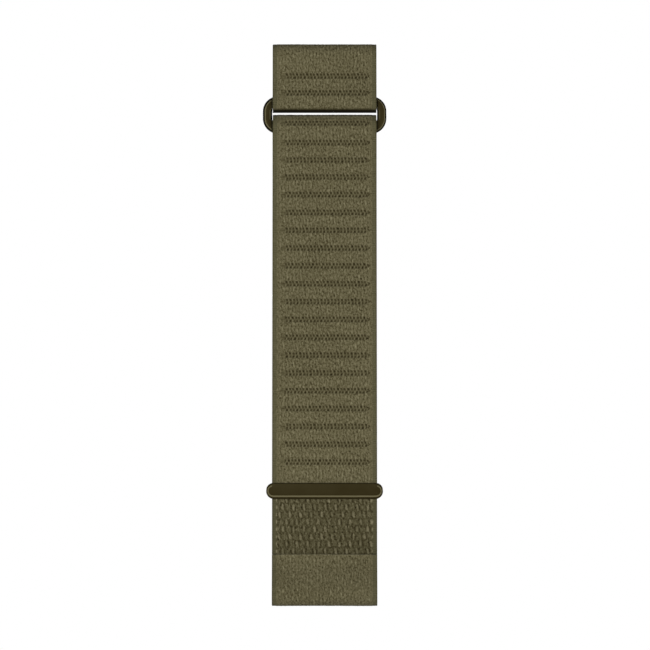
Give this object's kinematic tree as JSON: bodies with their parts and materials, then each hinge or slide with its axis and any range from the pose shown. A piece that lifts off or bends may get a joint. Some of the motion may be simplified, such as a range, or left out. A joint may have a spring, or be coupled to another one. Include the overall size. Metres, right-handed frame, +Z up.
{
  "type": "fabric watch strap",
  "caption": "Woven fabric watch strap with a short upper piece, a link ring, and a long hook-and-loop strap that folds back through the ring and ends in a flat tip plate.",
  "frame": {"origin": "on the axis of the upper lug tunnel, in the middle of the strap's width", "axes": "+X across the strap, to the viewer's right when the outer face is seen; +Z up along the strap; -Y out of the outer face and +Y towards the wrist"},
  "size_m": [0.0262, 0.0054, 0.1186],
  "materials": {
    "ribbed_knit": "matte olive-grey pile knit with dotted rib rows and smooth woven edges",
    "loop_weave": "matte olive-grey coarse loop weave with raised upright floats",
    "lining_cloth": "matte olive-grey plain tape",
    "ring_metal": "satin dark olive-brown with thin light bevels",
    "tip_metal": "satin dark olive-brown with a light lower bevel",
    "rivet_metal": "satin",
    "hook_tape": "matte moulded hooks"
  },
  "bodies": {
    "short_strap": {"short_strap_knit": "ribbed_knit", "short_strap_lining": "lining_cloth"},
    "ring": {"link_ring": "ring_metal"},
    "strap_1": {"run_knit_1": "ribbed_knit", "run_loop_1": "loop_weave", "ring_fold_knit": "ribbed_knit", "ring_fold_loop": "loop_weave"},
    "strap_2": {"run_flex_knit_1": "ribbed_knit", "run_flex_loop_1": "loop_weave", "run_knit_2": "ribbed_knit", "run_loop_2": "loop_weave"},
    "strap_3": {"run_flex_knit_2": "ribbed_knit", "run_flex_loop_2": "loop_weave", "run_knit_3": "ribbed_knit", "run_loop_3": "loop_weave"},
    "strap_4": {"run_flex_knit_3": "ribbed_knit", "run_flex_loop_3": "loop_weave", "lower_lug_knit": "ribbed_knit", "lower_lug_loop": "loop_weave"},
    "tail_1": {"tail_knit_1": "ribbed_knit", "tail_loop_1": "loop_weave"},
    "tail_2": {"tail_flex_knit_1": "ribbed_knit", "tail_flex_loop_1": "loop_weave", "tail_knit_2": "ribbed_knit", "tail_loop_2": "loop_weave"},
    "tail_3": {"tail_flex_knit_2": "ribbed_knit", "tail_flex_loop_2": "loop_weave", "tail_knit_3": "ribbed_knit", "hook_patch_backing": "hook_tape", "hook_patch_hooks": "hook_tape", "tip_plate_front": "tip_metal", "tip_plate_back": "tip_metal", "tip_rivets": "rivet_metal"}
  },
  "joints": [
    {"name": "ring_swing", "type": "hinge", "parent": "short_strap", "child": "ring", "pos_m": [0, 0, -0.00967], "axis": [-1, 0, 0], "range_deg": [-50, 10]},
    {"name": "strap_swing", "type": "hinge", "parent": "ring", "child": "strap_1", "pos_m": [0, 0, -0.01533], "axis": [-1, 0, 0], "range_deg": [-50, 10]},
    {"name": "tail_peel", "type": "hinge", "parent": "strap_1", "child": "tail_1", "pos_m": [0, 0, -0.01533], "axis": [-1, 0, 0], "range_deg": [0, 104], "deforming": ["ring_fold_knit", "ring_fold_loop"]},
    {"name": "strap_wrap_1", "type": "hinge", "parent": "strap_1", "child": "strap_2", "pos_m": [0, 0.00103, -0.04079], "axis": [-1, 0, 0], "range_deg": [-50, 25], "deforming": ["run_flex_knit_1", "run_flex_loop_1"]},
    {"name": "strap_wrap_2", "type": "hinge", "parent": "strap_2", "child": "strap_3", "pos_m": [0, 0.00103, -0.07095], "axis": [-1, 0, 0], "range_deg": [-50, 25], "deforming": ["run_flex_knit_2", "run_flex_loop_2"]},
    {"name": "strap_wrap_3", "type": "hinge", "parent": "strap_3", "child": "strap_4", "pos_m": [0, 0.00103, -0.10111], "axis": [-1, 0, 0], "range_deg": [-50, 25], "deforming": ["run_flex_knit_3", "run_flex_loop_3"]},
    {"name": "tail_wrap_1", "type": "hinge", "parent": "tail_1", "child": "tail_2", "pos_m": [0, 0.00103, -0.04079], "axis": [-1, 0, 0], "range_deg": [-50, 25], "deforming": ["tail_flex_knit_1", "tail_flex_loop_1"]},
    {"name": "tail_wrap_2", "type": "hinge", "parent": "tail_2", "child": "tail_3", "pos_m": [0, 0.00103, -0.07095], "axis": [-1, 0, 0], "range_deg": [-50, 25], "deforming": ["tail_flex_knit_2", "tail_flex_loop_2"]}
  ],
  "couplings": [
    {"joint": "strap_wrap_2", "follows": "strap_wrap_1", "ratio": 1},
    {"joint": "strap_wrap_3", "follows": "strap_wrap_1", "ratio": 1},
    {"joint": "tail_wrap_1", "follows": "strap_wrap_1", "ratio": 1},
    {"joint": "tail_wrap_2", "follows": "strap_wrap_1", "ratio": 1}
  ]
}
